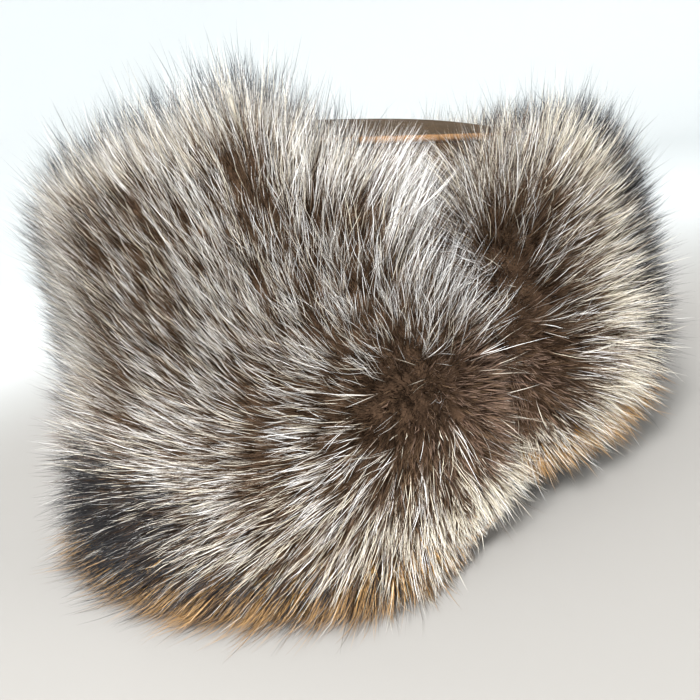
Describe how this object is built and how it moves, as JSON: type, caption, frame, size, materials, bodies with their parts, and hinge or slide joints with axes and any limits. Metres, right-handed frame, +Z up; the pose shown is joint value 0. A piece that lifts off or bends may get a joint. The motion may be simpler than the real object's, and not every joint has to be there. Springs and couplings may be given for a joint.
{
  "type": "trapper hat",
  "caption": "Raccoon fur trapper cap with a leather crown, its ear-and-neck flap and its visor turned up, resting on its rim.",
  "frame": {"origin": "on the surface the cap rests on, under the middle of its bounding box", "axes": "+Z up, the visor faces -Y, the wearer's left is +X"},
  "size_m": [0.3244, 0.3452, 0.2176],
  "materials": {
    "crown_leather": "soft brown leather, slightly creased",
    "piping_leather": "lighter tan leather piping",
    "headband_leather": "smooth tan leather",
    "flap_leather": "soft brown leather",
    "raccoon_fur": "long guard hair, silver and black-tipped over brown underfur"
  },
  "bodies": {
    "root": {"crown_top": "crown_leather", "crown_side": "crown_leather", "crown_piping": "piping_leather", "headband": "headband_leather", "ear_flap_leather": "flap_leather", "visor_leather": "flap_leather", "ear_flap_fur": "raccoon_fur", "visor_fur": "raccoon_fur"}
  },
  "joints": []
}
